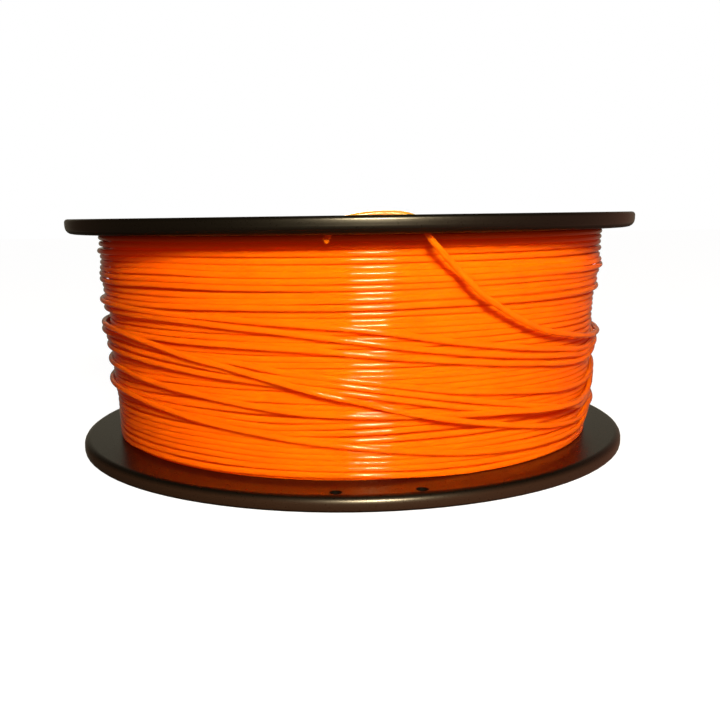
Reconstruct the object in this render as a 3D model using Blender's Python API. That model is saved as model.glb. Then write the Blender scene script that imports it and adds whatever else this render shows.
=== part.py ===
"""Filament spool: two ribbed flanges, a hub core and a drum, wound with 1.75 mm filament.

The spool lies flat. The origin is the centre of the lower flange's outer face,
on the spool's axis, and +Z runs along that axis towards the upper flange.
The front of the spool, where the filament's free end is parked, faces -Y.
Lengths are in metres, or in millimetres where a table says so. Angles are in
degrees, counted from +X towards +Y.
"""

import math

import bmesh
import bpy
from mathutils import Matrix, Vector

for old in list(bpy.data.objects):
    bpy.data.objects.remove(old, do_unlink=True)

# ---------------------------------------------------------------- shared dimensions
MM = 0.001
OVERALL_W = 0.0806  # outer face to outer face
GAP = 0.0003  # gap kept between neighbouring solids
CUT_OVER = 0.001  # how far flange cutters run past a face

# The upper flange is the lower one flipped about a radial line.
PAIR_AXIS = -85.56  # direction of that line
FLIP = (
    Matrix.Translation((0.0, 0.0, OVERALL_W))
    @ Matrix.Rotation(math.pi, 4, (
        math.cos(math.radians(PAIR_AXIS)), math.sin(math.radians(PAIR_AXIS)), 0.0))
)

# Flange rim and disc
FLANGE_R = 0.1000
RIM_T = 0.0049  # flange thickness at the rim and the hub
DISC_T = 0.0024  # thickness of the disc between hub and rim
DISC_LOW = RIM_T - DISC_T  # outer side of that disc
RIM_EDGE_R = 0.0024  # rounding of the rim on the filament's side
RIM_OUT_R = 0.0011  # smaller rounding of the rim on its outer face
LIP_IN_R = 0.0977  # inner radius of the raised rim on the outer face
RIM_FACETS = 96
HUB_FACETS = RIM_FACETS // 2

# Ribs on the flange's outer face
RIB_COUNT = 12
RIB_W = 0.0016
RIB_TOP = 0.0008  # how far ribs stay below the outer face
RING_RIB_IN_R = 0.0862  # ring that closes the radial ribs
RING_RIB_OUT_R = RING_RIB_IN_R + RIB_W
RIB_END_SINK = 0.0006  # overlap of a rib's ends with the hub plate and the ring
RIB_DISC_SINK = 0.0004  # overlap of a rib with the disc

# Flange hub
HUB_PLATE_R = 0.0430  # full-thickness plate around the bore
BORE_R = 0.0265  # bore for the holder's shaft
BORE_CHAMFER = 0.0007
SPIGOT_R = 0.0283  # collar that centres the hub core
SPIGOT_H = 0.0070
STEP_IN_R = 0.0420  # ring that centres the drum
STEP_OUT_R = 0.0438
STEP_H = 0.0025

# Rim holes that hold the filament's end
RIM_HOLE_HALF = 7.43  # angle from each hole to the flip line
RIM_HOLE_PCR = 0.0957
RIM_HOLE_R = 0.0019
RIM_HOLE_FACETS = 20

# Screws and their holes
SCREW_COUNT = 6
SCREW_PCR = 0.0360
HEAD_R = 0.0034
HEAD_H = 0.0021
HEAD_TOP_R = HEAD_R * 0.80  # edge of the shallow cone on top of the head
HEAD_TOP_H = 0.0003
HEAD_SIDE_START = 0.0011  # where the head's straight side begins
SHANK_R = 0.0014
SCREW_LEN = 0.0150
TIP_LEN = 0.0016
SCREW_FACETS = 12
SLOT_L = 0.0036
SLOT_W = 0.0008
SLOT_DEPTH = 0.0013
SCREW_TWIST = 17.0  # each screw is turned this much more than the one before
WELL_R = 0.0038
WELL_FLOOR = 0.0026
WELL_FACETS = 20
CLEAR_R = 0.0018
CLEAR_START = 0.001  # lies inside the well
CLEAR_FACETS = 12

# Hub core, drum and winding all fill the space between the flanges
BODY_LOW = RIM_T + GAP
BODY_HIGH = OVERALL_W - RIM_T - GAP

DRUM_R = 0.0465
DRUM_WALL = 0.0022
DRUM_IN_R = DRUM_R - DRUM_WALL
DRUM_CHAMFER = 0.0004
DRUM_FACETS = 64
START_HOLE_ANGLE = -40.0
START_HOLE_Z = 0.0100
START_HOLE_R = 0.0014
START_HOLE_LEN = 0.008
START_HOLE_FACETS = 14

TUBE_IN_R = SPIGOT_R + GAP
TUBE_OUT_R = TUBE_IN_R + 0.0020
TUBE_FACETS = 40
WEB_W = 0.0020  # radial webs between tube and drum
WEB_SINK = 0.0007  # overlap of a web with the tube
WEB_END_GAP = 0.0010  # space from a web's end to the level of the flange's step
BOSS_R = 0.0042
BOSS_INSET = 0.0002  # how far a boss stays short of the tube's ends
BOSS_FACETS = 16
PILOT_R = SHANK_R + GAP
PILOT_OVER = 0.002
PILOT_FACETS = 12

STRAND_R = 0.00175 / 2
STRAND_FACETS = 8
PACK_R = 0.0886  # outer radius of the winding
PACK_IN_R = DRUM_R + GAP
PACK_FACETS = 72


# ---------------------------------------------------------------- materials
def material(name, colour, roughness, metallic=0.0):
    mat = bpy.data.materials.new(name)
    mat.use_nodes = True
    shader = mat.node_tree.nodes["Principled BSDF"]
    shader.inputs["Base Color"].default_value = (*colour, 1.0)
    shader.inputs["Roughness"].default_value = roughness
    shader.inputs["Metallic"].default_value = metallic
    return mat


BLACK = material("black_plastic", colour=(0.016, 0.015, 0.014), roughness=0.32)
CORE = material("core_plastic", colour=(0.028, 0.027, 0.026), roughness=0.50)
ORANGE = material("orange_filament", colour=(1.0, 0.235, 0.004), roughness=0.28)
STEEL = material("zinc_steel", colour=(0.55, 0.56, 0.58), roughness=0.35, metallic=1.0)


# ---------------------------------------------------------------- places
def polar(radius, degrees, z=0.0):
    angle = math.radians(degrees)
    return Vector((radius * math.cos(angle), radius * math.sin(angle), z))


def turn_by(degrees):
    return Matrix.Rotation(math.radians(degrees), 4, "Z")


def straddling(count):
    """Evenly pitched angles, the first half a pitch past the flip line."""
    return [PAIR_AXIS + 360.0 / count * (k + 0.5) for k in range(count)]


SCREW_ANGLES = straddling(SCREW_COUNT)
RIM_HOLE_A = polar(RIM_HOLE_PCR, PAIR_AXIS - RIM_HOLE_HALF)
RIM_HOLE_B = polar(RIM_HOLE_PCR, PAIR_AXIS + RIM_HOLE_HALF)


# ---------------------------------------------------------------- mesh helpers
def add_object(name, mesh, mat):
    """Links a new object; a mesh that is shared or copied keeps its one material."""
    obj = bpy.data.objects.new(name, mesh)
    bpy.context.scene.collection.objects.link(obj)
    if not mesh.materials:
        mesh.materials.append(mat)
    return obj


def smooth(mesh, degrees=32.0):
    mesh.shade_smooth()
    mesh.set_sharp_from_angle(angle=math.radians(degrees))


def mesh_from(bm, name):
    bmesh.ops.remove_doubles(bm, verts=bm.verts, dist=1e-7)
    bmesh.ops.recalc_face_normals(bm, faces=bm.faces)
    mesh = bpy.data.meshes.new(name)
    bm.to_mesh(mesh)
    bm.free()
    return mesh


def spun(name, profile, steps, closed=True):
    """A (radius, z) outline spun once round Z; an open one starts and ends on the axis."""
    bm = bmesh.new()
    verts = [bm.verts.new((r, 0.0, z)) for r, z in profile]
    ends = verts[1:] + verts[:1] if closed else verts[1:]
    edges = [bm.edges.new(pair) for pair in zip(verts, ends)]
    bmesh.ops.spin(
        bm, geom=verts + edges, cent=(0, 0, 0), axis=(0, 0, 1),
        angle=2 * math.pi, steps=steps, use_merge=True,
    )
    return mesh_from(bm, name)


def turned_disc(name, rim, hub):
    """A turned disc whose rim has twice as many facets as its hub.

    Both outlines run round the disc's section in one closed turn, the rim's part
    first, and the two flat faces between them join the coarse and the fine rings.
    """
    bm = bmesh.new()

    def rings(outline, count):
        return [
            [bm.verts.new(polar(r, 360.0 * k / count, z)) for k in range(count)]
            for r, z in outline
        ]

    def walls(stack):
        for a, b in zip(stack, stack[1:]):
            for k in range(len(a)):
                after = (k + 1) % len(a)
                bm.faces.new((a[k], b[k], b[after], a[after]))

    def join(fine_ring, coarse_ring):
        for k, near in enumerate(coarse_ring):
            far = coarse_ring[(k + 1) % len(coarse_ring)]
            left, mid = fine_ring[2 * k], fine_ring[2 * k + 1]
            right = fine_ring[(2 * k + 2) % len(fine_ring)]
            bm.faces.new((left, near, mid))
            bm.faces.new((mid, near, far))
            bm.faces.new((mid, far, right))

    fine = rings(rim, RIM_FACETS)
    coarse = rings(hub, HUB_FACETS)
    walls(fine)
    walls(coarse)
    join(fine[-1], coarse[0])
    join(fine[0], coarse[-1])
    return mesh_from(bm, name)


def rod(name, radius, length, facets, place):
    """A cylinder along its own Z, centred, then put in place by a matrix."""
    bm = bmesh.new()
    bmesh.ops.create_cone(
        bm, cap_ends=True, segments=facets, radius1=radius, radius2=radius,
        depth=length, matrix=place,
    )
    return mesh_from(bm, name)


def upright(name, radius, low, high, facets, at, degrees=0.0):
    """A cylinder parallel to the spool's axis."""
    place = Matrix.Translation((at.x, at.y, (low + high) / 2)) @ turn_by(degrees)
    return rod(name, radius, high - low, facets, place)


def radial_block(name, inner, outer, width, low, high, degrees):
    """A box whose length lies along a radius."""
    bm = bmesh.new()
    centre = ((inner + outer) / 2, 0.0, (low + high) / 2)
    size = (outer - inner, width, high - low)
    place = turn_by(degrees) @ Matrix.Translation(centre)
    bmesh.ops.create_cube(bm, size=1.0, matrix=place @ Matrix.Diagonal((*size, 1.0)))
    return mesh_from(bm, name)


def combined(target, tool_meshes, operation):
    """Applies one EXACT boolean per tool and returns the resulting mesh."""
    obj = bpy.data.objects.new("work", target)
    bpy.context.scene.collection.objects.link(obj)
    tools = []
    for i, mesh in enumerate(tool_meshes):
        tool = bpy.data.objects.new(f"work_tool_{i}", mesh)
        tool.hide_render = True
        bpy.context.scene.collection.objects.link(tool)
        mod = obj.modifiers.new(f"cut_{i}", "BOOLEAN")
        mod.operation = operation
        mod.solver = "EXACT"
        mod.object = tool
        tools.append(tool)
    graph = bpy.context.evaluated_depsgraph_get()
    result = bpy.data.meshes.new_from_object(obj.evaluated_get(graph), depsgraph=graph)
    for helper in [obj, *tools]:
        bpy.data.objects.remove(helper, do_unlink=True)
    return result


def finish(mesh, name, sharp_angle=32.0):
    """Welds the slivers a boolean leaves, names the mesh and shades it."""
    bm = bmesh.new()
    bm.from_mesh(mesh)
    bmesh.ops.remove_doubles(bm, verts=bm.verts, dist=2e-6)
    bmesh.ops.dissolve_degenerate(bm, edges=bm.edges, dist=1e-6)
    bm.to_mesh(mesh)
    bm.free()
    mesh.name = name
    smooth(mesh, sharp_angle)
    return mesh


def spline(points, per_span):
    """Catmull-Rom curve through the points, each end extended in a straight line."""
    padded = [2 * points[0] - points[1], *points, 2 * points[-1] - points[-2]]
    curve = []
    for before, start, end, after in zip(padded, padded[1:], padded[2:], padded[3:]):
        for k in range(per_span):
            t = k / per_span
            curve.append(0.5 * (
                2 * start
                + (end - before) * t
                + (2 * before - 5 * start + 4 * end - after) * t * t
                + (3 * start - before - 3 * end + after) * t ** 3
            ))
    curve.append(points[-1].copy())
    return curve


def add_strand(name, points, per_span):
    """Filament swept along a smooth path, its frame carried along without twist."""
    path = spline(points, per_span)
    bm = bmesh.new()
    rings = []
    normal = None
    for i, point in enumerate(path):
        ahead = path[min(i + 1, len(path) - 1)]
        behind = path[max(i - 1, 0)]
        along = (ahead - behind).normalized()
        if normal is None:
            normal = along.orthogonal().normalized()
        normal = (normal - along * normal.dot(along)).normalized()
        side = along.cross(normal)
        ring = []
        for k in range(STRAND_FACETS):
            angle = 2 * math.pi * k / STRAND_FACETS
            offset = math.cos(angle) * normal + math.sin(angle) * side
            ring.append(bm.verts.new(point + STRAND_R * offset))
        rings.append(ring)
    for a, b in zip(rings, rings[1:]):
        for k in range(STRAND_FACETS):
            after = (k + 1) % STRAND_FACETS
            bm.faces.new((a[k], a[after], b[after], b[k]))
    bm.faces.new(list(reversed(rings[0])))
    bm.faces.new(rings[-1])
    mesh = mesh_from(bm, name)
    smooth(mesh, 60.0)
    add_object(name, mesh, ORANGE)


# ---------------------------------------------------------------- flanges
def corner(centre_r, centre_z, radius, angles):
    """(radius, z) points of a rounded corner in the flange's section."""
    return [
        (centre_r + radius * math.cos(math.radians(a)),
         centre_z + radius * math.sin(math.radians(a)))
        for a in angles
    ]


def flange_disc():
    """The turned part of the flange, without radial ribs or holes."""
    rim = [
        (RING_RIB_IN_R, DISC_LOW),
        (RING_RIB_IN_R, RIB_TOP),
        (RING_RIB_OUT_R, RIB_TOP),
        (RING_RIB_OUT_R, DISC_LOW),
        (LIP_IN_R, DISC_LOW),
        (LIP_IN_R, 0.0),
        *corner(FLANGE_R - RIM_OUT_R, RIM_OUT_R, RIM_OUT_R, (-90, -60, -30, 0)),
        *corner(FLANGE_R - RIM_EDGE_R, RIM_T - RIM_EDGE_R, RIM_EDGE_R,
                (0, 22.5, 45, 67.5, 90)),
    ]
    hub = [
        (STEP_OUT_R, RIM_T),
        (STEP_OUT_R, RIM_T + STEP_H),
        (STEP_IN_R, RIM_T + STEP_H),
        (STEP_IN_R, RIM_T),
        (SPIGOT_R, RIM_T),
        (SPIGOT_R, RIM_T + SPIGOT_H),
        (BORE_R, RIM_T + SPIGOT_H),
        (BORE_R, BORE_CHAMFER),
        (BORE_R + BORE_CHAMFER, 0.0),
        (HUB_PLATE_R, 0.0),
        (HUB_PLATE_R, DISC_LOW),
    ]
    return turned_disc("disc", rim, hub)


def flange_mesh():
    """The flange moulding, lying on its outer face with its inner face up."""
    ribs = [
        radial_block("rib", HUB_PLATE_R - RIB_END_SINK, RING_RIB_IN_R + RIB_END_SINK,
                     RIB_W, RIB_TOP, DISC_LOW + RIB_DISC_SINK, turn)
        for turn in straddling(RIB_COUNT)
    ]
    top = RIM_T + CUT_OVER
    holes = [
        upright("rim_hole", RIM_HOLE_R, -CUT_OVER, top, RIM_HOLE_FACETS, at)
        for at in (RIM_HOLE_A, RIM_HOLE_B)
    ]
    for turn in SCREW_ANGLES:
        at = polar(SCREW_PCR, turn)
        holes.append(upright("well", WELL_R, -CUT_OVER, WELL_FLOOR, WELL_FACETS, at))
        holes.append(upright("clear", CLEAR_R, CLEAR_START, top, CLEAR_FACETS, at))
    ribbed = combined(flange_disc(), ribs, "UNION")
    return finish(combined(ribbed, holes, "DIFFERENCE"), "flange")


def add_flanges():
    mesh = flange_mesh()
    add_object("lower_flange", mesh, BLACK)
    upper = add_object("upper_flange", mesh.copy(), BLACK)
    upper.matrix_world = FLIP


# ---------------------------------------------------------------- hub core and drum
def add_hub_core():
    """A tube with a radial web and a screw boss at each screw."""
    tube = spun("tube", [
        (TUBE_IN_R, BODY_LOW), (TUBE_OUT_R, BODY_LOW),
        (TUBE_OUT_R, BODY_HIGH), (TUBE_IN_R, BODY_HIGH),
    ], TUBE_FACETS)
    web_inset = STEP_H + WEB_END_GAP
    parts = []
    pilots = []
    for turn in SCREW_ANGLES:
        at = polar(SCREW_PCR, turn)
        parts.append(radial_block(
            "web", TUBE_OUT_R - WEB_SINK, DRUM_IN_R - GAP, WEB_W,
            BODY_LOW + web_inset, BODY_HIGH - web_inset, turn))
        # half a facet of extra turn puts a flat of the boss across the radius
        parts.append(upright(
            "boss", BOSS_R, BODY_LOW + BOSS_INSET, BODY_HIGH - BOSS_INSET,
            BOSS_FACETS, at, turn + 180.0 / BOSS_FACETS))
        pilots.append(upright("pilot", PILOT_R, BODY_LOW - PILOT_OVER,
                              BODY_HIGH + PILOT_OVER, PILOT_FACETS, at))
    body = combined(tube, parts, "UNION")
    mesh = finish(combined(body, pilots, "DIFFERENCE"), "hub_core")
    add_object("hub_core", mesh, CORE)


def add_drum():
    """The tube the filament is wound on, with a hole for the filament's inner end."""
    tube = spun("drum", [
        (DRUM_IN_R, BODY_LOW),
        (DRUM_R - DRUM_CHAMFER, BODY_LOW),
        (DRUM_R, BODY_LOW + DRUM_CHAMFER),
        (DRUM_R, BODY_HIGH - DRUM_CHAMFER),
        (DRUM_R - DRUM_CHAMFER, BODY_HIGH),
        (DRUM_IN_R, BODY_HIGH),
    ], DRUM_FACETS)
    place = (
        turn_by(START_HOLE_ANGLE)
        @ Matrix.Translation((DRUM_R - DRUM_WALL / 2, 0.0, START_HOLE_Z))
        @ Matrix.Rotation(math.radians(90), 4, "Y")
    )
    hole = rod("start_hole", START_HOLE_R, START_HOLE_LEN, START_HOLE_FACETS, place)
    mesh = finish(combined(tube, [hole], "DIFFERENCE"), "core_barrel")
    add_object("core_barrel", mesh, CORE)


# ---------------------------------------------------------------- screws
def screw_mesh():
    """Pan-head self-tapping screw, head down at z = 0, shank up."""
    body = spun("screw", [
        (0.0, 0.0),
        (HEAD_TOP_R, HEAD_TOP_H),
        (HEAD_R, HEAD_SIDE_START),
        (HEAD_R, HEAD_H),
        (SHANK_R, HEAD_H),
        (SHANK_R, SCREW_LEN - TIP_LEN),
        (0.0, SCREW_LEN),
    ], SCREW_FACETS, closed=False)
    cross = [
        radial_block("slot", -SLOT_L / 2, SLOT_L / 2, SLOT_W, -SLOT_DEPTH, SLOT_DEPTH, turn)
        for turn in (0.0, 90.0)
    ]
    return finish(combined(body, cross, "DIFFERENCE"), "screw", sharp_angle=40.0)


def add_screws():
    """One ring of screws in each flange, all sharing one mesh."""
    mesh = screw_mesh()
    head_level = WELL_FLOOR - GAP - HEAD_H
    for k, turn in enumerate(SCREW_ANGLES):
        seat = (Matrix.Translation(polar(SCREW_PCR, turn, head_level))
                @ turn_by(turn + SCREW_TWIST * k))
        lower = add_object(f"flange_screw_lower_{k + 1}", mesh, STEEL)
        lower.matrix_world = seat
        upper = add_object(f"flange_screw_upper_{k + 1}", mesh, STEEL)
        upper.matrix_world = FLIP @ seat


# ---------------------------------------------------------------- filament
# softened shoulder of the winding: depth below PACK_R, distance from the winding's end
PACK_SHOULDER = ((0.0022, 0.0), (0.0008, 0.0009), (0.0, 0.0090))

# loose stretch from the winding towards the upper flange: angle, height and radius,
# in degrees and millimetres
LEAD = (
    (-8.0, 40.2, 89.9), (-16.0, 40.3, 89.9), (-30.0, 41.5, 90.1),
    (-42.0, 44.1, 90.6), (-53.0, 47.9, 91.2), (-64.5, 56.5, 92.6),
    (-70.5, 64.0, 93.7), (-75.0, 71.0, 94.6), (-77.1, 75.2, 95.1),
)

# parked end: share of the span from rim hole A to rim hole B, and height against
# the upper flange's outer face in millimetres
TAIL = (
    (-0.033, -7.1), (-0.020, -5.5), (-0.004, -3.6), (0.035, -2.2),
    (0.12, -1.25), (0.27, -0.35), (0.46, 0.20), (0.66, 0.32),
    (0.82, -0.25), (0.925, -1.35), (0.985, -2.60), (1.012, -4.75),
)

# inner end: radius against the drum's inner wall, angle and height against the
# drum's hole, in millimetres and degrees
START = (
    (1.8, 0.0, 0.0), (0.2, 0.0, 0.0), (-2.4, 0.9, 0.0),
    (-3.2, 3.2, 0.3), (-3.2, 8.0, 1.0), (-2.8, 14.0, 1.6),
)


def add_pack():
    """The winding as one plain body: a ring with softened shoulders."""
    lower = [(PACK_R - depth, BODY_LOW + inset) for depth, inset in PACK_SHOULDER]
    upper = [(PACK_R - depth, BODY_HIGH - inset) for depth, inset in reversed(PACK_SHOULDER)]
    outline = [(PACK_IN_R, BODY_LOW), *lower, *upper, (PACK_IN_R, BODY_HIGH)]
    mesh = spun("filament_pack", outline, PACK_FACETS)
    smooth(mesh)
    add_object("filament_pack", mesh, ORANGE)


def add_lead():
    points = [polar(radius * MM, angle, height * MM) for angle, height, radius in LEAD]
    add_strand("filament_lead", points, per_span=4)


def add_tail():
    """The parked end: up through one rim hole, over the outer face, down the other."""
    points = []
    for share, height in TAIL:
        point = RIM_HOLE_A.lerp(RIM_HOLE_B, share)
        point.z = OVERALL_W + height * MM
        points.append(point)
    add_strand("filament_tail", points, per_span=3)


def add_start():
    """The inner end, bent through the drum's hole and along its inside."""
    points = [
        polar(DRUM_IN_R + radius * MM, START_HOLE_ANGLE + angle, START_HOLE_Z + height * MM)
        for radius, angle, height in START
    ]
    add_strand("filament_start", points, per_span=3)


add_flanges()
add_hub_core()
add_drum()
add_screws()
add_pack()
add_lead()
add_tail()
add_start()
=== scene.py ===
"""Looks for the filament spool: the wound strand, the plastics, the light and the camera.

The spool lies on its lower flange with its axis along Z. The camera looks along +Y, so
-Y is the front and +X the right. One strand follows a list of turns. The last, slanting
turns are laid on the surface that the turns before them have left, so that they nestle
in grooves, ride over one another and leave real gaps and shadows.

Lengths are in millimetres, except in shaders, lights and the camera, which use metres.
Angles round the axis are in degrees from +X: -90 is the front.
"""

import math

import bpy
import numpy as np
from mathutils import Matrix, Vector


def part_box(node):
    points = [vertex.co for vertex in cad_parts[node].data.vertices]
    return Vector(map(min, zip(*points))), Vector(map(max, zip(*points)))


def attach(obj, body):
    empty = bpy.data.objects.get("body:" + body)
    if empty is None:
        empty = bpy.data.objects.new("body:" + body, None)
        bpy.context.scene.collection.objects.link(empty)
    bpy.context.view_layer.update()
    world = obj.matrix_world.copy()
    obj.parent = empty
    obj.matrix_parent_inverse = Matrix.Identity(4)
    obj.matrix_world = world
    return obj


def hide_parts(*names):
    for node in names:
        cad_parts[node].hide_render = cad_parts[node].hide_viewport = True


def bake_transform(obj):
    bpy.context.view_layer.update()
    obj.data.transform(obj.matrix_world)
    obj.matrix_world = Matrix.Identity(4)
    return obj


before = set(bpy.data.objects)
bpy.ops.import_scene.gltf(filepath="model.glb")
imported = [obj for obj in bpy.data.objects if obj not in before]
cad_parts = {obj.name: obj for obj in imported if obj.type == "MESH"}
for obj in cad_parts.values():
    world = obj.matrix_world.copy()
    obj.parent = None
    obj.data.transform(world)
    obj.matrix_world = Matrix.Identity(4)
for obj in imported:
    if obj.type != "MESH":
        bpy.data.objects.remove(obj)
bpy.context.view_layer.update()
rng = np.random.default_rng(20161)
scene = bpy.context.scene
scene.view_settings.view_transform = "Standard"
scene.view_settings.look = "None"


# ------------------------------------------------------------------ sizes
def box_mm(name):
    return [np.array(corner) * 1000 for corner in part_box(name)]


_, flange_high = box_mm("upper_flange")
pack_low, pack_high = box_mm("filament_pack")
PACK_GAP = 0.3  # between the pack and each flange
WIDTH = float(flange_high[2])  # outer face to outer face
FACE_LOW = float(pack_low[2]) - PACK_GAP  # inner face of the lower flange
FACE_HIGH = float(pack_high[2]) + PACK_GAP  # inner face of the upper flange
PACK_R = float(pack_high[0])
ROD = 0.875  # radius of the strand
TURN_PITCH = 1.79  # from turn to turn where they lie side by side

CAMERA_BACK, CAMERA_HEIGHT = 329.62, 80.56  # from the axis, and over the floor
CAMERA_TILT, CAMERA_ROLL = 0.2546, 0.0140  # radians


# ------------------------------------------------------------------ node helpers
class Graph:
    """Adds nodes to one node tree.

    An input is given either a value or the output that feeds it; colours go without alpha.
    """

    MIX_SOCKETS = {"FLOAT": (2, 3, 0), "VECTOR": (4, 5, 1), "RGBA": (6, 7, 2)}  # in, in, out

    def __init__(self, tree):
        self.tree = tree

    def feed(self, target, inputs):
        for key, value in inputs.items():
            socket = target.inputs[key]
            if isinstance(value, bpy.types.NodeSocket):
                self.tree.links.new(value, socket)
            elif socket.type == "RGBA":
                socket.default_value = (*value, 1.0)
            else:
                socket.default_value = value

    def add(self, kind, inputs=None, **settings):
        made = self.tree.nodes.new(kind)
        for key, value in settings.items():
            setattr(made, key, value)
        self.feed(made, inputs or {})
        return made

    def calc(self, operation, *operands):
        made = self.add("ShaderNodeMath", dict(enumerate(operands)), operation=operation)
        return made.outputs[0]

    def vector(self, operation, *operands):
        made = self.add("ShaderNodeVectorMath", dict(enumerate(operands)), operation=operation)
        is_number = operation in ("DOT_PRODUCT", "LENGTH", "DISTANCE")
        return made.outputs["Value" if is_number else "Vector"]

    def split(self, vector):
        return self.add("ShaderNodeSeparateXYZ", {0: vector}).outputs

    def remap(self, value, within, onto, **settings):
        ends = {"From Min": within[0], "From Max": within[1], "To Min": onto[0], "To Max": onto[1]}
        made = self.add("ShaderNodeMapRange", {"Value": value, **ends}, **settings)
        return made.outputs["Result"]

    def mix(self, kind, factor, low, high):
        low_at, high_at, out_at = self.MIX_SOCKETS[kind]
        made = self.add("ShaderNodeMix", {}, data_type=kind)
        self.feed(made, {0: factor, low_at: low, high_at: high})
        return made.outputs[out_at]

    def mix_shader(self, factor, low, high):
        return self.add("ShaderNodeMixShader", {0: factor, 1: low, 2: high}).outputs[0]

    def noise(self, place, scale, detail=2.0, rough=0.5, stretch=None):
        """Noise over the place; stretch scales its axes first."""
        if stretch is not None:
            mapping = self.add("ShaderNodeMapping", {"Vector": place, "Scale": stretch})
            place = mapping.outputs["Vector"]
        inputs = {"Vector": place, "Scale": scale, "Detail": detail, "Roughness": rough}
        return self.add("ShaderNodeTexNoise", inputs).outputs["Fac"]

    def bump(self, height, strength, distance, under=None):
        """Normal of a relief, on top of the normal of another one if given."""
        inputs = {"Height": height, "Strength": strength, "Distance": distance}
        if under is not None:
            inputs["Normal"] = under
        return self.add("ShaderNodeBump", inputs).outputs["Normal"]


def new_material(name):
    mat = bpy.data.materials.new(name)
    mat.use_nodes = True
    return mat, Graph(mat.node_tree), mat.node_tree.nodes["Principled BSDF"]


def set_surface(graph, shader, output="Material Output"):
    graph.feed(graph.tree.nodes[output], {"Surface": shader})


# ------------------------------------------------------------------ filament
DROP_Z = (1.0, 1.0, 0.0)  # multiplies a position to leave its distance from the axis


def painted_coil_glow(graph, position, flat, drum, clear):
    """Strength of a painted glow, an emission that stands in for the light that has
    wandered through the coil and fills its gaps.

    Strongest on the side that faces the lamp, gone in the shade under the upper flange.
    """
    lamp_side = (0.17, -0.98, 0.0)
    facing = graph.vector("DOT_PRODUCT", drum, lamp_side)
    toward = graph.remap(facing, within=(0.0, 1.0), onto=(0.15, 1.0))
    shade = graph.remap(
        graph.split(position)["Z"],
        within=(FACE_HIGH / 1000 + 0.0005, FACE_HIGH / 1000 - 0.0060),
        onto=(0.12, 1.0), interpolation_type="SMOOTHSTEP")
    reach = graph.vector("LENGTH", flat)
    loose = graph.remap(reach, within=(0.0915, 0.0930), onto=(0.0, 0.40))
    glow = graph.calc("MULTIPLY", toward, graph.calc("MAXIMUM", shade, loose))
    return graph.calc("MULTIPLY", glow, graph.remap(clear, within=(0.0, 1.0), onto=(0.33, 0.0)))


def filament_material():
    """Extruded orange plastic, translucent: a soft body under a smooth, slightly drawn skin."""
    mat, graph, body = new_material("filament_orange")
    place = graph.add("ShaderNodeTexCoord").outputs["Object"]
    geometry = graph.add("ShaderNodeNewGeometry").outputs
    position = geometry["Position"]
    blotch = graph.noise(place, scale=95.0, detail=3.0, rough=0.55)
    tint = graph.mix("RGBA", graph.remap(blotch, within=(0.35, 0.65), onto=(0.0, 1.0)),
                     low=(0.385, 0.067, 0.0006), high=(0.415, 0.077, 0.0008))
    # where single turns stand clear of the coil, light goes right through them and they
    # look browner than the coil: painted shade, their base colour is mixed to a darker brown
    clear = graph.remap(graph.split(position)["Z"],
                        within=((WIDTH - 1.5) / 1000, (WIDTH - 0.2) / 1000), onto=(0.0, 1.0))
    colour = graph.mix("RGBA", clear, low=tint, high=(0.23, 0.105, 0.014))
    # light that enters one turn leaves from its neighbours, which evens out the shading
    # across the turns: the body is lit partly as if the coil were one smooth drum
    flat = graph.vector("MULTIPLY", position, DROP_Z)
    drum = graph.vector("NORMALIZE", flat)
    body.subsurface_method = "BURLEY"
    graph.feed(body, {
        "Base Color": colour,
        "Normal": graph.mix("VECTOR", 0.75, low=geometry["Normal"], high=drum),
        "Roughness": 0.6,
        "Specular IOR Level": 0.0,
        "Subsurface Weight": 1.0,
        "Subsurface Radius": (1.0, 0.50, 0.08),
        "Subsurface Scale": 0.0025,
        # painted glow: a red emission stands in for light carried through the coil
        "Emission Color": (1.0, 0.032, 0.0),
        "Emission Strength": painted_coil_glow(graph, position, flat, drum, clear),
    })
    # the skin
    fine = graph.noise(place, scale=900.0, rough=0.6, stretch=(1.0, 1.0, 3.0))
    smear = graph.noise(place, scale=160.0)
    skin = graph.add("ShaderNodeBsdfGlossy", {
        "Roughness": graph.remap(smear, within=(0.3, 0.7), onto=(0.045, 0.08)),
        "Normal": graph.bump(fine, strength=0.004, distance=0.00003),
    })
    fresnel = graph.add("ShaderNodeFresnel", {"IOR": 1.32})
    set_surface(graph, graph.mix_shader(fresnel.outputs[0], body.outputs[0], skin.outputs[0]))
    return mat


# ------------------------------------------------------------------ moulded plastic
def painted_rim_reflection(graph, place, normal_z):
    """Where a painted reflection goes: 1 on the outer wall of the rim that rests on the table, 0
    elsewhere and in its holes.
    """
    upright = graph.calc("ABSOLUTE", normal_z)
    rim_reflection = graph.calc(
        "MULTIPLY",
        graph.remap(upright, within=(0.25, 0.75), onto=(1.0, 0.0)),
        graph.remap(graph.split(place)["Z"], within=(0.006, 0.008), onto=(1.0, 0.0)))
    span = graph.vector("LENGTH", graph.vector("MULTIPLY", place, DROP_Z))
    outside = graph.remap(span, within=(0.0978, 0.0986), onto=(0.0, 1.0))
    return graph.calc("MULTIPLY", rim_reflection, outside)


def drafted_wall(graph, place):
    """Normal of the upper rim's wall, which leans back a little above its rounding."""
    lift = graph.remap(graph.split(place)["Z"],
                       within=((WIDTH - 5.0) / 1000, WIDTH / 1000), onto=(0.0, 1.0))
    draft = graph.add("ShaderNodeFloatCurve", {"Value": lift})
    curve = draft.mapping.curves[0]
    # (share of the way up, relief)
    for at, relief in ((0.25, 0.20), (0.31, 0.79), (0.54, 0.28), (0.78, 0.10), (0.82, 0.10)):
        curve.points.new(at, relief)
    curve.points[0].location = (0.0, 0.20)
    curve.points[-1].location = (1.0, 0.10)
    for point in curve.points:
        point.handle_type = "VECTOR"
    draft.mapping.update()
    return graph.bump(draft.outputs["Value"], strength=1.0, distance=0.00018)


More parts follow.
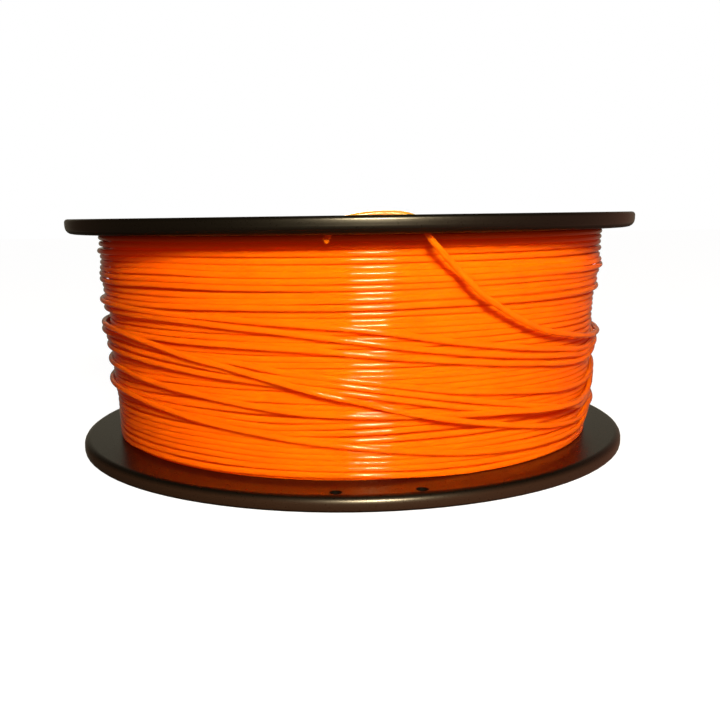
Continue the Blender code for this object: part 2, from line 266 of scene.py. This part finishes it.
def moulded_material(name, base, roughness, grain):
    """Moulded black plastic: fine spark texture, faint flow clouds, dust in its roughness and a
    painted reflection on the rim that rests on the table.
    """
    mat, graph, shader = new_material(name)
    place = graph.add("ShaderNodeTexCoord").outputs["Object"]
    cloud = graph.noise(place, scale=42.0, detail=4.0, rough=0.6)
    dust = graph.noise(place, scale=1500.0, rough=0.7)
    tone = graph.mix("RGBA", graph.remap(cloud, within=(0.35, 0.65), onto=(0.0, 1.0)),
                     low=base, high=tuple(c * 1.35 for c in base))
    sparkle = graph.remap(dust, within=(0.3, 0.7), onto=roughness)
    normal_z = graph.split(graph.add("ShaderNodeNewGeometry").outputs["Normal"])["Z"]
    # painted reflection: the outer wall of the rim that rests on the table is made browner, as if
    # it mirrored the warm-lit table
    rim_reflection = painted_rim_reflection(graph, place, normal_z)
    # the side that faces the floor is left as it came from a coarser half of the mould
    under = graph.remap(normal_z, within=(-0.30, -0.75), onto=(0.0, 1.0))
    # and the side that faces up shines a little less than the wall
    shine = graph.calc(
        "MULTIPLY",
        graph.remap(under, within=(0.0, 1.0), onto=(0.5, 0.12)),
        graph.remap(normal_z, within=(0.05, 0.45), onto=(1.0, 0.56)))
    spark = graph.noise(place, scale=2600.0, rough=0.6)
    graph.feed(shader, {
        # painted reflection of the table, brown, on the outer wall of the lower rim
        "Base Color": graph.mix("RGBA", rim_reflection, low=tone, high=(0.0125, 0.0062, 0.0042)),
        "Roughness": graph.mix("FLOAT", under, low=sparkle, high=0.52),
        "Specular IOR Level": shine,
        "Normal": graph.bump(spark, strength=grain, distance=0.00004,
                             under=drafted_wall(graph, place)),
        "IOR": 1.52,
    })
    return mat


def steel_material():
    mat, graph, shader = new_material("zinc_plated_steel")
    place = graph.add("ShaderNodeTexCoord").outputs["Object"]
    patch = graph.noise(place, scale=700.0, detail=3.0, rough=0.6)
    graph.feed(shader, {
        "Base Color": graph.mix("RGBA", patch, low=(0.50, 0.51, 0.53), high=(0.66, 0.66, 0.64)),
        "Roughness": graph.remap(patch, within=(0.3, 0.7), onto=(0.22, 0.40)),
        "Metallic": 1.0,
        "Normal": graph.bump(graph.noise(place, scale=4000.0), strength=0.15, distance=0.00003),
    })
    return mat


ORANGE = filament_material()
BLACK = moulded_material("flange_black", base=(0.0010, 0.0008, 0.0006),
                         roughness=(0.27, 0.31), grain=0.05)
CORE = moulded_material("core_black", base=(0.020, 0.019, 0.018),
                        roughness=(0.42, 0.55), grain=0.20)
STEEL = steel_material()


# ------------------------------------------------------------------ the CAD pieces
def smoothing_nodes(sharp_angle):
    """Node group that shades a mesh smooth and keeps edges over the angle sharp."""
    tree = bpy.data.node_groups.new("smooth_by_angle", "GeometryNodeTree")
    for in_out in ("INPUT", "OUTPUT"):
        tree.interface.new_socket("Geometry", in_out=in_out, socket_type="NodeSocketGeometry")
    graph = Graph(tree)
    enter = graph.add("NodeGroupInput")
    leave = graph.add("NodeGroupOutput")
    faces = graph.add("GeometryNodeSetShadeSmooth", {"Geometry": enter.outputs[0]}, domain="FACE")
    angle = graph.add("GeometryNodeInputMeshEdgeAngle").outputs["Unsigned Angle"]
    below = graph.add("FunctionNodeCompare", {0: angle, 1: sharp_angle},
                      data_type="FLOAT", operation="LESS_THAN")
    edges = graph.add("GeometryNodeSetShadeSmooth",
                      {"Geometry": faces.outputs[0], "Shade Smooth": below.outputs[0]},
                      domain="EDGE")
    graph.feed(leave, {0: edges.outputs[0]})
    return tree


def material_for(name):
    if name.endswith("_flange"):
        return BLACK
    if name in ("hub_core", "core_barrel"):
        return CORE
    return STEEL if name.startswith("flange_screw") else ORANGE


def dress(obj, mat):
    if obj.material_slots:
        for slot in obj.material_slots:
            slot.material = mat
    else:
        obj.data.materials.append(mat)


smoothing = smoothing_nodes(sharp_angle=math.radians(34.0))
for name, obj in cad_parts.items():
    weld = obj.modifiers.new("weld", "WELD")
    weld.merge_threshold = 2e-6
    obj.modifiers.new("smooth_by_angle", "NODES").node_group = smoothing
    weighted = obj.modifiers.new("weighted_normals", "WEIGHTED_NORMAL")
    weighted.keep_sharp = True
    weighted.weight = 80
    dress(obj, material_for(name))


# ------------------------------------------------------------------ meshes from arrays
def filament_object(name, verts, quads, tris=()):
    """One smooth orange object from vertices, quads and triangles."""
    mesh = bpy.data.meshes.new(name)
    loops = np.concatenate([np.ravel(quads), np.ravel(tris)]).astype(np.int32)
    quad_count, tri_count = len(quads), len(tris)
    starts = np.concatenate([np.arange(quad_count) * 4,
                             quad_count * 4 + np.arange(tri_count) * 3]).astype(np.int32)
    mesh.vertices.add(len(verts))
    mesh.vertices.foreach_set("co", (verts * 0.001).astype(np.float32).ravel())
    mesh.loops.add(len(loops))
    mesh.loops.foreach_set("vertex_index", loops)
    mesh.polygons.add(len(starts))
    mesh.polygons.foreach_set("loop_start", starts)
    mesh.polygons.foreach_set("use_smooth", np.full(len(starts), True))
    mesh.update(calc_edges=True)
    mesh.validate()
    mesh.materials.append(ORANGE)
    obj = bpy.data.objects.new(name, mesh)
    scene.collection.objects.link(obj)
    return obj


# Angles round the strand's own section, from the side that faces away from the axis.
ROUND_RING = np.linspace(0, 2 * np.pi, 18, endpoint=False)
# most sides of a coiled turn are on its outward half
COILED_RING = np.radians(np.append(np.linspace(-108, 108, 13), (144, 180, 216)))
END_BREAK = ROD * 0.12  # how much thinner each cut end is


def rod(path, ring):
    """Vertices, quads and triangles of the strand swept along an n by 3 path."""
    count, sides = len(path), len(ring)
    along = np.gradient(path, axis=0)
    along /= np.linalg.norm(along, axis=1)[:, None]
    # a frame carried along without twist, started from the radial direction
    normal = np.zeros_like(path)
    first = path[0] * (1, 1, 0)
    first = first - along[0] * (first @ along[0])
    normal[0] = first / np.linalg.norm(first)
    for i in range(1, count):
        carried = normal[i - 1] - along[i] * (normal[i - 1] @ along[i])
        normal[i] = carried / np.linalg.norm(carried)
    side = np.cross(along, normal)
    radii = np.full(count, ROD)
    radii[0] = radii[-1] = ROD - END_BREAK
    skin = (path[:, None, :]
            + radii[:, None, None] * (np.cos(ring)[None, :, None] * normal[:, None, :]
                                      + np.sin(ring)[None, :, None] * side[:, None, :]))
    verts = np.concatenate([skin.reshape(-1, 3), path[[0, -1]]])
    row = np.arange(count - 1)[:, None] * sides
    here = np.arange(sides)
    after = (here + 1) % sides
    quads = np.stack([row + here, row + after,
                      row + sides + after, row + sides + here], -1).reshape(-1, 4)
    first_centre = count * sides
    last_row = (count - 1) * sides
    tris = np.concatenate([
        np.stack([np.full(sides, first_centre), after, here], -1),
        np.stack([np.full(sides, first_centre + 1), last_row + here, last_row + after], -1),
    ])
    return verts, quads, tris


# ------------------------------------------------------------------ the turns
# Heights are over the lower flange's outer face, at angles along the front of the
# spool: -170 is the left edge, -90 the middle and -10 the right edge.
# They are laid out on a cylinder as the camera sees it, and seated() moves each one
# along its line of sight to the radius its own turn lies at.
LAYOUT_R = 89.0
EDGE_ANGLES = (-160, -20)  # where a turn's left and right radii hold

# the full layer under the outer one: height in the middle, bottom to top
UNDER = [8.0, 9.8, 11.4, 13.1, 14.7, 16.4, 18.2, 20.5, 22.6, 24.3, 26.05, 27.8, 29.5, 31.2,
         32.95, 34.7, 36.4, 38.2, 39.9, 41.7, 43.5, 45.4, 47.3, 49.1, 50.8, 52.4, 54.1]
UNDER_AT = (-150, -135, -120, -105, -90, -75, -60, -30)
# turn: how far it lies above its middle height at each of those angles
UNDER_DRIFT = {
    0: (0.8, 0.6, 0.2, 0.1, 0.0, -0.8, -1.2, -1.4), 1: (1.0, 0.8, 0.6, 0.2, 0.0, -0.5, -0.8, -1.1),
    2: (1.6, 1.4, 1.0, 0.3, 0.0, -0.2, -0.5, -0.9), 3: (1.8, 1.6, 1.3, 0.4, 0.0, 0.0, -0.3, -0.5),
    4: (1.5, 1.4, 1.2, 0.5, 0.0, 0.0, 0.0, -0.2), 5: (1.6, 1.4, 1.3, 0.5, 0.0, 0.1, 0.2, 0.2),
    6: (1.6, 1.4, 1.3, 0.4, 0.0, 0.6, 0.7, 0.5), 7: (1.7, 1.5, 0.9, -0.4, 0.0, 0.5, 0.6, 0.4),
    8: (1.6, 1.3, 0.6, -0.8, 0.0, 0.4, 0.4, 0.3), 9: (1.4, 1.0, 0.4, -0.6, 0.0, 0.3, 0.3, 0.2),
    10: (1.2, 0.9, 0.6, 0.2, 0.0, 0.1, 0.1, 0.1), 11: (-0.7, -0.8, -0.1, 0.0, 0.0, 0.1, 0.1, 0.1),
    12: (-0.5, -0.4, 0.2, 0.3, 0.0, 0.0, 0.0, 0.0), 13: (-0.2, -0.1, 0.3, 0.3, 0.0, 0.0, 0.0, 0.0),
    14: (0.0, 0.1, 0.4, 0.4, 0.0, 0.0, 0.0, 0.0), 15: (0.3, 0.2, 0.4, 0.3, 0.0, 0.0, 0.0, 0.0),
    26: (-0.5, -0.5, -0.4, -0.2, 0.0, 0.0, 0.0, 0.0),
}
# the rest of that layer, under the outer one
BURIED = [round(56.0 + TURN_PITCH * k, 2) for k in range(11)]

# the outer layer, top to bottom, which stops part of the way down:
# heights at each angle, then the radii at the left and at the right edge
OUTER_AT = (-150, -130, -110, -90, -70, -50, -30)
OUTER = [
    ((74.45, 74.5, 74.5, 74.5, 74.5, 74.4, 74.4), (88.6, 88.9)),
    ((72.5, 72.6, 72.6, 72.55, 72.6, 72.6, 72.6), (88.6, 88.7)),
    ((70.2, 70.7, 70.6, 70.6, 70.8, 70.9, 71.0), (89.3, 88.5)),
    ((68.3, 68.8, 68.6, 68.7, 68.8, 68.8, 68.8), (88.5, 88.9)),
    ((66.4, 67.1, 66.8, 66.8, 67.0, 66.9, 66.8), (88.6, 88.4)),
    ((64.6, 65.3, 64.9, 65.0, 65.1, 65.2, 65.0), (88.8, 89.1)),
    ((62.7, 63.2, 63.0, 63.15, 63.3, 63.5, 63.2), (89.1, 89.6)),
    ((60.7, 61.4, 61.2, 61.2, 61.6, 61.9, 61.4), (89.2, 88.5)),
    ((58.8, 58.9, 59.1, 59.5, 60.0, 60.1, 60.3), (88.4, 88.0)),
    ((57.0, 57.0, 57.5, 57.9, 58.4, 58.3, 58.5), (88.3, 88.0)),
    ((55.2, 55.3, 55.8, 55.9, 56.3, 56.1, 56.2), (88.3, 88.5)),
]
# the loose turns that follow, each crossing the layer below at a slant: (angle, height)
LOOSE = [
    [(-150, 53.8), (-135, 53.3), (-120, 52.9), (-110, 52.2), (-100, 51.3), (-90, 50.1),
     (-85, 49.2), (-80, 48.0), (-75, 46.5), (-70, 45.3), (-60, 43.0), (-50, 40.9),
     (-40, 39.1), (-30, 37.4), (-10, 36.0)],
    [(-150, 51.2), (-130, 51.4), (-120, 50.9), (-110, 49.9), (-105, 49.4), (-100, 48.6),
     (-95, 47.6), (-90, 46.7), (-80, 44.4), (-70, 42.3), (-60, 40.3), (-50, 38.5),
     (-40, 37.0), (-30, 35.5), (-10, 34.2)],
    [(-150, 45.2), (-140, 45.5), (-120, 45.3), (-110, 45.0), (-100, 44.4), (-90, 43.1),
     (-80, 41.4), (-70, 39.8), (-60, 37.9), (-50, 36.3), (-40, 34.5), (-30, 33.6),
     (-10, 32.4)],
    [(-150, 43.4), (-136, 42.4), (-128, 41.7), (-120, 41.2), (-110, 39.7), (-105, 38.3),
     (-100, 37.2), (-90, 35.6), (-80, 33.4), (-70, 31.0), (-60, 29.5), (-50, 27.8),
     (-40, 26.3), (-30, 25.8), (-10, 25.0)],
    [(-150, 38.3), (-136, 37.8), (-120, 36.2), (-110, 35.1), (-100, 33.6), (-90, 31.7),
     (-80, 29.3), (-70, 26.5), (-60, 24.0), (-50, 22.1), (-40, 20.8), (-30, 19.9),
     (-10, 19.0)],
    [(-150, 40.8), (-136, 40.0), (-125, 39.1), (-115, 37.6), (-105, 36.2), (-95, 34.6),
     (-90, 33.7), (-80, 31.4), (-70, 28.8), (-60, 26.1), (-50, 23.4), (-40, 20.6),
     (-30, 18.1), (-10, 15.2)],
    [(-150, 33.0), (-140, 32.0), (-130, 30.8), (-120, 29.5), (-110, 27.8), (-100, 26.1),
     (-90, 25.3), (-80, 24.7), (-70, 24.2), (-60, 23.5), (-50, 22.3), (-40, 21.5),
     (-30, 21.2), (-10, 20.9)],
    [(-150, 25.8), (-140, 24.8), (-130, 23.3), (-120, 21.4), (-110, 19.7), (-100, 17.7),
     (-90, 16.0), (-80, 14.2), (-70, 12.5), (-60, 11.3), (-50, 10.5), (-30, 10.0),
     (-10, 9.6)],
    # the last one, which runs on into the free end
    [(-150, 46.0), (-145, 45.8), (-140, 45.2), (-135, 44.1), (-130, 43.1), (-120, 40.4),
     (-115, 39.2), (-110, 37.7), (-105, 35.9), (-100, 33.8), (-95, 31.7), (-90, 29.9),
     (-80, 26.0), (-70, 22.6), (-60, 19.3), (-55, 17.9), (-50, 16.6), (-45, 15.3),
     (-35, 13.6), (-30, 13.0), (-10, 11.6)],
]
LOOSE_SIGHT_R = 88.9  # radius the loose turns are sighted at
LOOSE_R = 88.6  # and their radius before they are laid on the coil
# (angle, height, radius): after its last turn the strand goes once more round the back,
# and these stations carry it off the coil
LEAD = (
    (-8.0, 40.2, 89.6), (-16.0, 40.3, 89.7), (-30.0, 41.5, 90.0), (-42.0, 44.1, 90.6),
    (-53.0, 47.9, 91.2), (-64.5, 56.5, 92.6), (-70.5, 64.0, 93.7), (-75.0, 71.0, 94.6),
)
LEAD_ON_COIL = 3  # how many of them are still laid with the turns

FIXED_TURNS = len(UNDER) + len(BURIED) + len(OUTER)
TURNS = FIXED_TURNS + len(LOOSE)


def seated(angle, z, radius):
    """The point seen at this angle and height on the layout cylinder, at another radius."""
    a = math.radians(angle)
    dx = LAYOUT_R * math.cos(a)
    dy = LAYOUT_R * math.sin(a) + CAMERA_BACK
    dz = z - CAMERA_HEIGHT
    square = dx * dx + dy * dy
    middle = -dy * CAMERA_BACK
    root = middle * middle - square * (CAMERA_BACK * CAMERA_BACK - radius * radius)
    reach = (-middle - math.sqrt(max(root, 0.0))) / square
    # close to the outline the turn is only seen edge-on
    reach = min(reach, 1.035)
    back_angle = math.degrees(math.atan2(-CAMERA_BACK + dy * reach, dx * reach))
    return back_angle, CAMERA_HEIGHT + dz * reach


def under_radius(z):
    """Radius of the under layer, which swells softly at two heights."""
    def swell(rise, at, softness):
        return rise / (1 + math.exp(-(z - at) / softness))

    return 86.1 + swell(0.75, at=22.5, softness=1.3) + swell(0.35, at=53.0, softness=0.8)


def turn_knots():
    """Each turn as seated (angle, height) knots and its radii at the left and right."""
    turns = []

    def add(stations, sight_radii, radii):
        knots = [seated(a, z, np.interp(a, EDGE_ANGLES, sight_radii)) for a, z in stations]
        turns.append((knots, radii))

    for i, z in enumerate(UNDER + BURIED):
        drift = UNDER_DRIFT.get(i, (0,) * len(UNDER_AT))
        jitter = rng.normal(0.0, 0.05, len(UNDER_AT))
        radii = (under_radius(z),) * 2
        add([(a, z + d + j) for a, d, j in zip(UNDER_AT, drift, jitter)], radii, radii)
    for heights, radii in OUTER:
        add(zip(OUTER_AT, heights), radii, radii)
    for stations in LOOSE:
        add(stations, (LOOSE_SIGHT_R,) * 2, (LOOSE_R,) * 2)
    return turns


# The sweep is the angle wound so far: it grows as the angle round the axis falls.
def strand_knots():
    """Sweeps, heights and radii of all knots along the strand."""
    knots = []
    for k, (turn, radii) in enumerate(turn_knots()):
        for angle, z in sorted(turn, reverse=True):
            knots.append((360.0 * k - angle, z, np.interp(angle, EDGE_ANGLES, radii)))
    for angle, z, r in LEAD[:LEAD_ON_COIL]:
        knots.append((360.0 * TURNS - angle, z, r))
    return np.array(knots).T


def pchip(x, y, at):
    """Shape-keeping cubic through the knots (Fritsch-Carlson slopes)."""
    gap = np.diff(x)
    rise = np.diff(y) / gap
    slope = np.zeros_like(y)
    weight_1 = 2 * gap[1:] + gap[:-1]
    weight_2 = gap[1:] + 2 * gap[:-1]
    same = (rise[:-1] * rise[1:]) > 0
    with np.errstate(divide="ignore", invalid="ignore"):
        inner = (weight_1 + weight_2) / (weight_1 / rise[:-1] + weight_2 / rise[1:])
    slope[1:-1] = np.where(same, inner, 0.0)
    slope[0], slope[-1] = rise[0], rise[-1]
    i = np.clip(np.searchsorted(x, at) - 1, 0, len(gap) - 1)
    t = (at - x[i]) / gap[i]
    return (y[i] * (1 + 2 * t) * (1 - t) ** 2 + gap[i] * slope[i] * t * (1 - t) ** 2
            + y[i + 1] * t * t * (3 - 2 * t) + gap[i] * slope[i + 1] * t * t * (t - 1))


def blurred(values, sigma):
    """Gaussian blur; sigma is in samples."""
    reach = int(4 * sigma)
    kernel = np.exp(-0.5 * (np.arange(-reach, reach + 1) / sigma) ** 2)
    kernel /= kernel.sum()
    padded = np.concatenate([np.full(reach, values[0]), values, np.full(reach, values[-1])])
    return np.convolve(padded, kernel, "valid")


STEP = 0.25  # degrees of sweep from sample to sample
AROUND = int(360 / STEP)
SWEEP_START = -90.0
sweep = np.arange(SWEEP_START, 360.0 * TURNS + 30.0, STEP)


def wander(every, amount):
    """Soft random drift, with a new value every so many degrees."""
    at = np.arange(sweep[0], sweep[-1] + 2 * every, every)
    return blurred(np.interp(sweep, at, rng.normal(0, amount, len(at))), 0.3 * every / STEP)


knot_sweep, knot_height, knot_radius = strand_knots()
inside = np.clip(sweep, knot_sweep[0], knot_sweep[-1])
strand_z = blurred(pchip(knot_sweep, knot_height, inside), 8) + wander(every=41.0, amount=0.06)
strand_z = np.clip(strand_z, FACE_LOW + ROD + 0.1, FACE_HIGH - ROD - 0.1)
strand_r = (blurred(np.interp(inside, knot_sweep, knot_radius), 30)
            + wander(every=67.0, amount=0.07) + wander(every=23.0, amount=0.04))

# ------------------------------------------------------------------ laying the strand
CELL = 0.05  # height of a cell of the surface
SOFT = 0.84  # a touch less than the strand's radius, for how far turns press together
STIFF = 50.0  # relative radius at which the taut strand bends over an obstacle
BRIDGE = 24  # degrees to each side over which an obstacle lifts the strand
LAYER_STEP = 1.56  # from a layer's radius to the one below
FIRST_RIDGE = 0.95  # from the lower flange to the first groove of the inner layer

# the layer below all of these turns, as ridges of its own turns
z_grid = np.arange(FACE_LOW - 2, FACE_HIGH + 2, CELL)
inner_r = np.array([under_radius(min(z, 50.0)) for z in z_grid]) - LAYER_STEP
ridge = (z_grid - FACE_LOW - FIRST_RIDGE) % TURN_PITCH - TURN_PITCH / 2
inner_surface = inner_r + np.sqrt(
    np.clip(ROD ** 2 - np.clip(np.abs(ridge), 0, ROD) ** 2, 0, None))


def lay_loose_turns():
    """Raises the surface turn by turn, and rests each loose turn on what lies below it."""
    surface = np.tile(inner_surface, (AROUND, 1))
    reach = int(SOFT / CELL)
    offsets = np.arange(-reach, reach + 1)
    crown = np.sqrt(np.clip(SOFT ** 2 - (offsets * CELL) ** 2, 0, None))
    span = int(BRIDGE / STEP)
    hops = np.arange(-span, span + 1)
    sag = (PACK_R * np.radians(hops * STEP)) ** 2 / (2 * STIFF)
    for k in range(TURNS + 1):
        start = k * AROUND
        end = min(start + AROUND, len(sweep))
        ahead = np.arange(start, min(end + span, len(sweep)))
        column = np.round(-sweep[ahead] / STEP).astype(int) % AROUND
        row = np.clip(((strand_z[ahead] - z_grid[0]) / CELL).round().astype(int),
                      reach, len(z_grid) - reach - 1)
        if k >= FIXED_TURNS:
            below = surface[column[:, None], row[:, None] + offsets[None, :]]
            rest = (below + crown[None, :]).max(1)
            before = strand_r[start - span:start]
            full = np.concatenate([before, rest, np.full(span, rest[-1])])
            taut = np.full(len(ahead), -1e9)
            for hop, drop in zip(hops, sag):
                taut = np.maximum(taut, full[span + hop:span + hop + len(ahead)] - drop)
            soft = blurred(np.concatenate([before, taut]), 7)[span:]
            strand_r[start:end] = soft[:end - start]
        column, row = column[:end - start], row[:end - start]
        for offset, rise in zip(offsets, crown):
            np.maximum.at(surface, (column, row + offset), strand_r[start:end] + rise)


lay_loose_turns()

# ------------------------------------------------------------------ the winding
PATH_STEP = 2.0  # degrees from ring to ring of the swept strand
INNER_BORE_R = 60.0
INNER_SEGMENTS = 160


def path_between(start, end):
    at = np.arange(start, end + PATH_STEP / 2, PATH_STEP)
    r = np.interp(at, sweep, strand_r)
    z = np.interp(at, sweep, strand_z)
    a = np.radians(-at)
    return np.stack([r * np.cos(a), r * np.sin(a), z], 1)


def ride_as_filament(obj):
    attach(obj, "spool")
    return obj


def wound(name, first, count):
    """One object of so many whole turns of the strand."""
    path = path_between(360.0 * first + SWEEP_START, 360.0 * (first + count) + SWEEP_START)
    return ride_as_filament(filament_object(name, *rod(path, COILED_RING)))


def inner_layers():
    """The layer under the strand: one ring with the ridges of its turns."""
    ridge_z = []
    z = FACE_LOW + 0.35
    while z < FACE_HIGH - 0.35:
        ridge_z.append(z)
        z += TURN_PITCH / 6
    ridge_r = np.interp(ridge_z, z_grid, inner_surface) - 0.02
    profile_r = np.concatenate([[INNER_BORE_R], ridge_r, [INNER_BORE_R]])
    profile_z = np.concatenate([ridge_z[:1], ridge_z, ridge_z[-1:]])
    around = np.linspace(0, 2 * np.pi, INNER_SEGMENTS, endpoint=False)[:, None]
    verts = np.stack([
        profile_r * np.cos(around),
        profile_r * np.sin(around),
        np.repeat(profile_z[None, :], INNER_SEGMENTS, 0),
    ], -1).reshape(-1, 3)
    count = len(profile_r)
    i = np.arange(INNER_SEGMENTS)[:, None]
    j = np.arange(count)[None, :]
    next_i, next_j = (i + 1) % INNER_SEGMENTS, (j + 1) % count
    quads = np.stack([i * count + j, next_i * count + j,
                      next_i * count + next_j, i * count + next_j], -1).reshape(-1, 4)
    return ride_as_filament(filament_object("winding_inner_layers", verts, quads))


# two turns more of the under layer than the outer one leaves bare
under = wound("winding_under_layer", 0, len(UNDER) + 2)
outer = wound("winding_outer_layer", len(UNDER) + len(BURIED), len(OUTER))
loose = wound("winding_loose_turns", FIXED_TURNS, len(LOOSE) - 1)
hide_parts("filament_pack")
inner = inner_layers()

# ------------------------------------------------------------------ the free end
HOLE_R = 95.7  # radius at which the pair of holes in the upper rim lies
PAIR_ANGLE, HALF_PAIR = -85.56, 7.43  # middle of the pair, and from there to each hole
# up through the right hole: (to the right, outward, over the outer face)
THROUGH = (
    (1.25, -0.75, -5.3), (0.80, -0.40, -4.1), (0.15, 0.0, -2.9), (-0.70, 0.0, -1.95),
    (-2.1, 0.0, -1.05),
)
# over to the left hole and down: (share of the way from left to right hole, inward,
# over the outer face); the cut end leans in under the rim
LOOP = (
    (0.80, 0, -0.15), (0.66, 0, 0.30), (0.50, 0, 0.26), (0.34, 0, -0.05), (0.20, 0, -0.62),
    (0.10, 0, -1.30), (0.03, 0, -2.3), (-0.004, 0, -3.5), (-0.028, 0.7, -4.9),
    (-0.045, 1.3, -5.9), (-0.061, 1.8, -6.75),
)


def spline(points, per_span):
    """Catmull-Rom curve through the points."""
    pts = np.asarray(points, float)
    pts = np.vstack([2 * pts[0] - pts[1], pts, 2 * pts[-1] - pts[-2]])
    out = []
    for i in range(1, len(pts) - 2):
        p0, p1, p2, p3 = pts[i - 1:i + 3]
        for t in np.arange(per_span) / per_span:
            out.append(0.5 * (2 * p1 + (p2 - p0) * t + (2 * p0 - 5 * p1 + 4 * p2 - p3) * t * t
                              + (3 * p1 - p0 - 3 * p2 + p3) * t ** 3))
    out.append(pts[-2])
    return np.array(out)


def polar(r, degrees, z):
    a = math.radians(degrees)
    return np.array([r * math.cos(a), r * math.sin(a), z])


def free_end_path():
    on_coil = path_between(360.0 * (TURNS - 1) + SWEEP_START, 360.0 * TURNS + 6.0)
    off_coil = [polar(r, a, z) for a, z, r in LEAD[1:]]
    left = polar(HOLE_R, PAIR_ANGLE - HALF_PAIR, 0.0)
    right = polar(HOLE_R, PAIR_ANGLE + HALF_PAIR, 0.0)
    spacing = float(np.linalg.norm(right - left))
    across = (right - left) / spacing
    outward = right / HOLE_R
    through = [right + across * dx + outward * dr + [0, 0, WIDTH + dz] for dx, dr, dz in THROUGH]
    loop = [left + across * share * spacing + [0, 0, WIDTH + dz] - inward * left / HOLE_R
            for share, inward, dz in LOOP]
    curve = spline([on_coil[-1]] + off_coil + through + loop, per_span=6)
    return np.vstack([on_coil[:-1], curve])


free_end = filament_object("filament_free_end", *rod(free_end_path(), ROUND_RING))
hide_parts("filament_lead", "filament_tail")
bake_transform(free_end)


# ------------------------------------------------------------------ floor
def pale_floor(count=24, half_size=3.2, shift_y=0.4, z=-0.00002):
    """A white sheet, a grid of count by count points, that only the camera sees."""
    mesh = bpy.data.meshes.new("floor")
    steps = np.linspace(-half_size, half_size, count)
    verts = [(x, y + shift_y, z) for y in steps for x in steps]
    faces = [(j * count + i, j * count + i + 1, (j + 1) * count + i + 1, (j + 1) * count + i)
             for j in range(count - 1) for i in range(count - 1)]
    mesh.from_pydata(verts, [], faces)
    obj = bpy.data.objects.new("floor", mesh)
    scene.collection.objects.link(obj)
    mat, graph, shader = new_material("floor_white")
    seen = graph.add("ShaderNodeLightPath").outputs["Is Camera Ray"]
    graph.feed(shader, {
        "Roughness": 0.9,
        "Specular IOR Level": 0.1,
        "Base Color": (0.12, 0.12, 0.12),
        "Emission Color": (1, 1, 1),
        "Emission Strength": graph.calc("MULTIPLY", seen, 0.975),
    })
    # the object itself sees the dim room instead of the paper sweep it stands on
    clear = graph.add("ShaderNodeBsdfTransparent")
    set_surface(graph, graph.mix_shader(seen, clear.outputs[0], shader.outputs[0]))
    mesh.materials.append(mat)
    return obj


pale_floor()


# ------------------------------------------------------------------ light
def area(name, at, size, power, colour, target=(0, 0, 0.04)):
    """Oval lamp, brighter in the middle than at its edge, like a soft box."""
    lamp = bpy.data.lights.new(name, "AREA")
    lamp.shape = "ELLIPSE"
    lamp.size, lamp.size_y = size
    lamp.energy = power
    lamp.color = colour
    lamp.use_nodes = True
    graph = Graph(lamp.node_tree)
    emission = next(n for n in graph.tree.nodes if n.bl_idname == "ShaderNodeEmission")
    across = graph.add("ShaderNodeNewGeometry").outputs["Parametric"]
    from_middle = graph.vector("DISTANCE", across, (0.5, 0.5, 0.0))
    square = graph.calc("POWER", from_middle, 2.0)
    graph.feed(emission, {"Strength": graph.remap(square, within=(0.0, 0.25), onto=(2.0, 0.0))})
    obj = bpy.data.objects.new(name, lamp)
    scene.collection.objects.link(obj)
    obj.location = at
    obj.rotation_euler = (Vector(target) - Vector(at)).to_track_quat("-Z", "Y").to_euler()
    return obj


area("key", at=(0.075, -0.500, 0.285), size=(0.170, 0.130), power=9.5, colour=(1.0, 0.81, 0.49))
# a second one straight behind the spool, for the filament only
fill = area("back_fill", at=(0.0, 0.600, 0.240), size=(0.300, 0.200), power=8.5,
            colour=(1.0, 0.84, 0.58))
coil = bpy.data.collections.new("lit_from_behind")
for piece in (under, outer, loose, inner, free_end):
    coil.objects.link(piece)
fill.light_linking.receiver_collection = coil


def studio_world():
    """White to the camera. To all else: a warm dim room in front, brighter at the right,
    a paler wall behind and a dark ceiling."""
    world = bpy.data.worlds.new("studio")
    scene.world = world
    world.use_nodes = True
    graph = Graph(world.node_tree)
    way = graph.split(graph.add("ShaderNodeTexCoord").outputs["Generated"])
    behind = graph.remap(way["Y"], within=(0.74, 0.95), onto=(0.0, 1.0))
    aside = graph.remap(way["X"], within=(-0.1, 0.6), onto=(0.0, 1.0))
    ceiling = graph.remap(way["Z"], within=(0.25, 0.75), onto=(0.0, 1.0))
    near = graph.mix("RGBA", aside, low=(0.06, 0.036, 0.022), high=(0.26, 0.12, 0.08))
    walls = graph.mix("RGBA", behind, low=near, high=(0.30, 0.27, 0.20))
    room = graph.mix("RGBA", ceiling, low=walls, high=(0.030, 0.020, 0.014))
    unseen = world.node_tree.nodes["Background"]
    graph.feed(unseen, {"Color": room, "Strength": 1.0})
    seen = graph.add("ShaderNodeBackground", {"Color": (1, 1, 1), "Strength": 1.0})
    camera_ray = graph.add("ShaderNodeLightPath").outputs["Is Camera Ray"]
    both = graph.mix_shader(camera_ray, unseen.outputs[0], seen.outputs[0])
    set_surface(graph, both, output="World Output")


def add_camera():
    camera = bpy.data.cameras.new("camera")
    camera.sensor_width = 36.0
    camera.lens = 43.47
    camera.shift_x = 0.01019444444
    camera.shift_y = 0.11344444444
    camera.clip_start = 0.01
    obj = bpy.data.objects.new("camera", camera)
    scene.collection.objects.link(obj)
    obj.matrix_world = (
        Matrix.Translation((0.0, -CAMERA_BACK / 1000, CAMERA_HEIGHT / 1000))
        @ Matrix.Rotation(math.pi / 2 - CAMERA_TILT, 4, "X")
        @ Matrix.Rotation(-CAMERA_ROLL, 4, "Z")
    )
    scene.camera = obj


studio_world()
add_camera()
